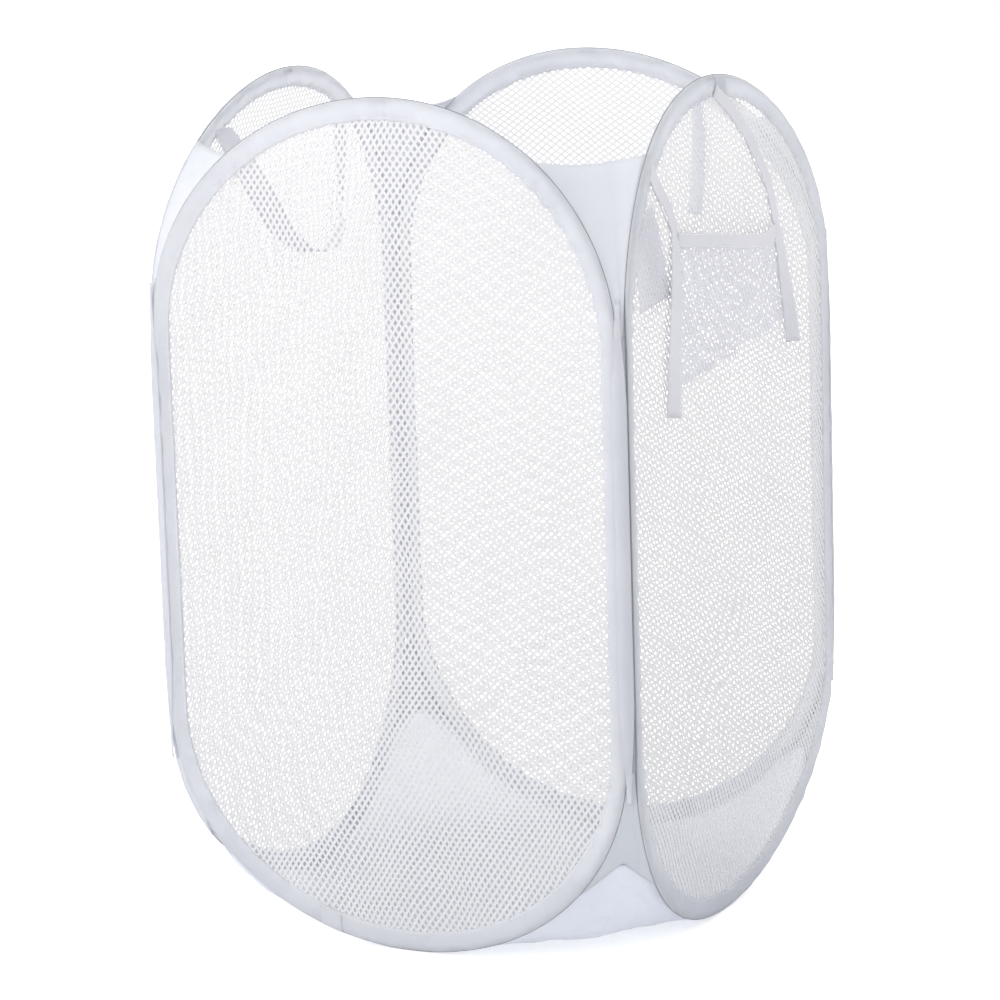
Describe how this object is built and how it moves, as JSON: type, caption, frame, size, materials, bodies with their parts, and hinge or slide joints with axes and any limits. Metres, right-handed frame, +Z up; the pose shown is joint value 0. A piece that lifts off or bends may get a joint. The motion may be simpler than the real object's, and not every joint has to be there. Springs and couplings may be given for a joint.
{
  "type": "pop up laundry hamper",
  "caption": "Collapsible square laundry hamper with sprung oval hoops in fabric sleeves, open mesh walls, fabric base, side pocket and carry handle.",
  "frame": {"origin": "on the floor, at the middle of the base", "axes": "+Z up, the front panel faces -Y, the panel with the pocket faces +X"},
  "size_m": [0.382, 0.368, 0.6],
  "materials": {
    "sleeve_fabric": "plain woven polyester, white",
    "mesh_fabric": "open diamond knit, white",
    "sheet_fabric": "thin coated nylon, white",
    "webbing_fabric": "flat woven tape, white",
    "spring_steel": "bare spring wire",
    "ferrule_steel": "crimped tube"
  },
  "bodies": {
    "front_panel": {"front_sleeve": "sleeve_fabric", "front_mesh": "mesh_fabric", "front_hoop_wire": "spring_steel", "front_hoop_ferrule": "ferrule_steel", "base_sheet": "sheet_fabric", "corner_seam_front_right": "sleeve_fabric", "corner_gusset_front_right": "sheet_fabric", "foot_gusset_front_right": "sheet_fabric", "corner_seam_left_front": "sleeve_fabric", "corner_gusset_left_front": "sheet_fabric", "foot_gusset_left_front": "sheet_fabric"},
    "right_panel": {"right_sleeve": "sleeve_fabric", "right_mesh": "mesh_fabric", "right_hoop_wire": "spring_steel", "right_hoop_ferrule": "ferrule_steel", "pocket_mesh": "mesh_fabric", "pocket_near_tape": "webbing_fabric", "pocket_far_tape": "webbing_fabric", "pocket_mouth_tape": "webbing_fabric", "closing_strap": "webbing_fabric", "tie_ribbon": "webbing_fabric", "corner_seam_right_back": "sleeve_fabric", "corner_gusset_right_back": "sheet_fabric", "foot_gusset_right_back": "sheet_fabric"},
    "back_panel": {"back_sleeve": "sleeve_fabric", "back_mesh": "mesh_fabric", "back_hoop_wire": "spring_steel", "back_hoop_ferrule": "ferrule_steel", "corner_seam_back_left": "sleeve_fabric", "corner_gusset_back_left": "sheet_fabric", "foot_gusset_back_left": "sheet_fabric"},
    "left_panel": {"left_sleeve": "sleeve_fabric", "left_mesh": "mesh_fabric", "left_hoop_wire": "spring_steel", "left_hoop_ferrule": "ferrule_steel"},
    "left_handle": {"carry_handle": "webbing_fabric"}
  },
  "joints": [
    {"name": "fold", "type": "hinge", "parent": "front_panel", "child": "right_panel", "pos_m": [0.1777, -0.1777, 0.3], "axis": [0, 0, 1], "range_deg": [-70, 70], "stiffness_Nm_per_rad": 0.4, "deforming": ["base_sheet", "corner_gusset_front_right", "foot_gusset_front_right", "corner_gusset_right_back", "foot_gusset_right_back", "corner_gusset_back_left", "foot_gusset_back_left", "corner_gusset_left_front", "foot_gusset_left_front", "corner_seam_front_right", "corner_seam_right_back", "corner_seam_back_left", "corner_seam_left_front"]},
    {"name": "back_corner", "type": "hinge", "parent": "right_panel", "child": "back_panel", "pos_m": [0.1777, 0.1777, 0.3], "axis": [0, 0, 1], "range_deg": [-70, 70]},
    {"name": "left_corner", "type": "hinge", "parent": "front_panel", "child": "left_panel", "pos_m": [-0.1777, -0.1777, 0.3], "axis": [0, 0, 1], "range_deg": [-70, 70]},
    {"name": "handle_swing", "type": "hinge", "parent": "left_panel", "child": "left_handle", "pos_m": [-0.17015, 0, 0.5657], "axis": [0, -1, 0], "range_deg": [0, 155]}
  ],
  "couplings": [
    {"joint": "back_corner", "follows": "fold", "ratio": -1},
    {"joint": "left_corner", "follows": "fold", "ratio": 1}
  ]
}
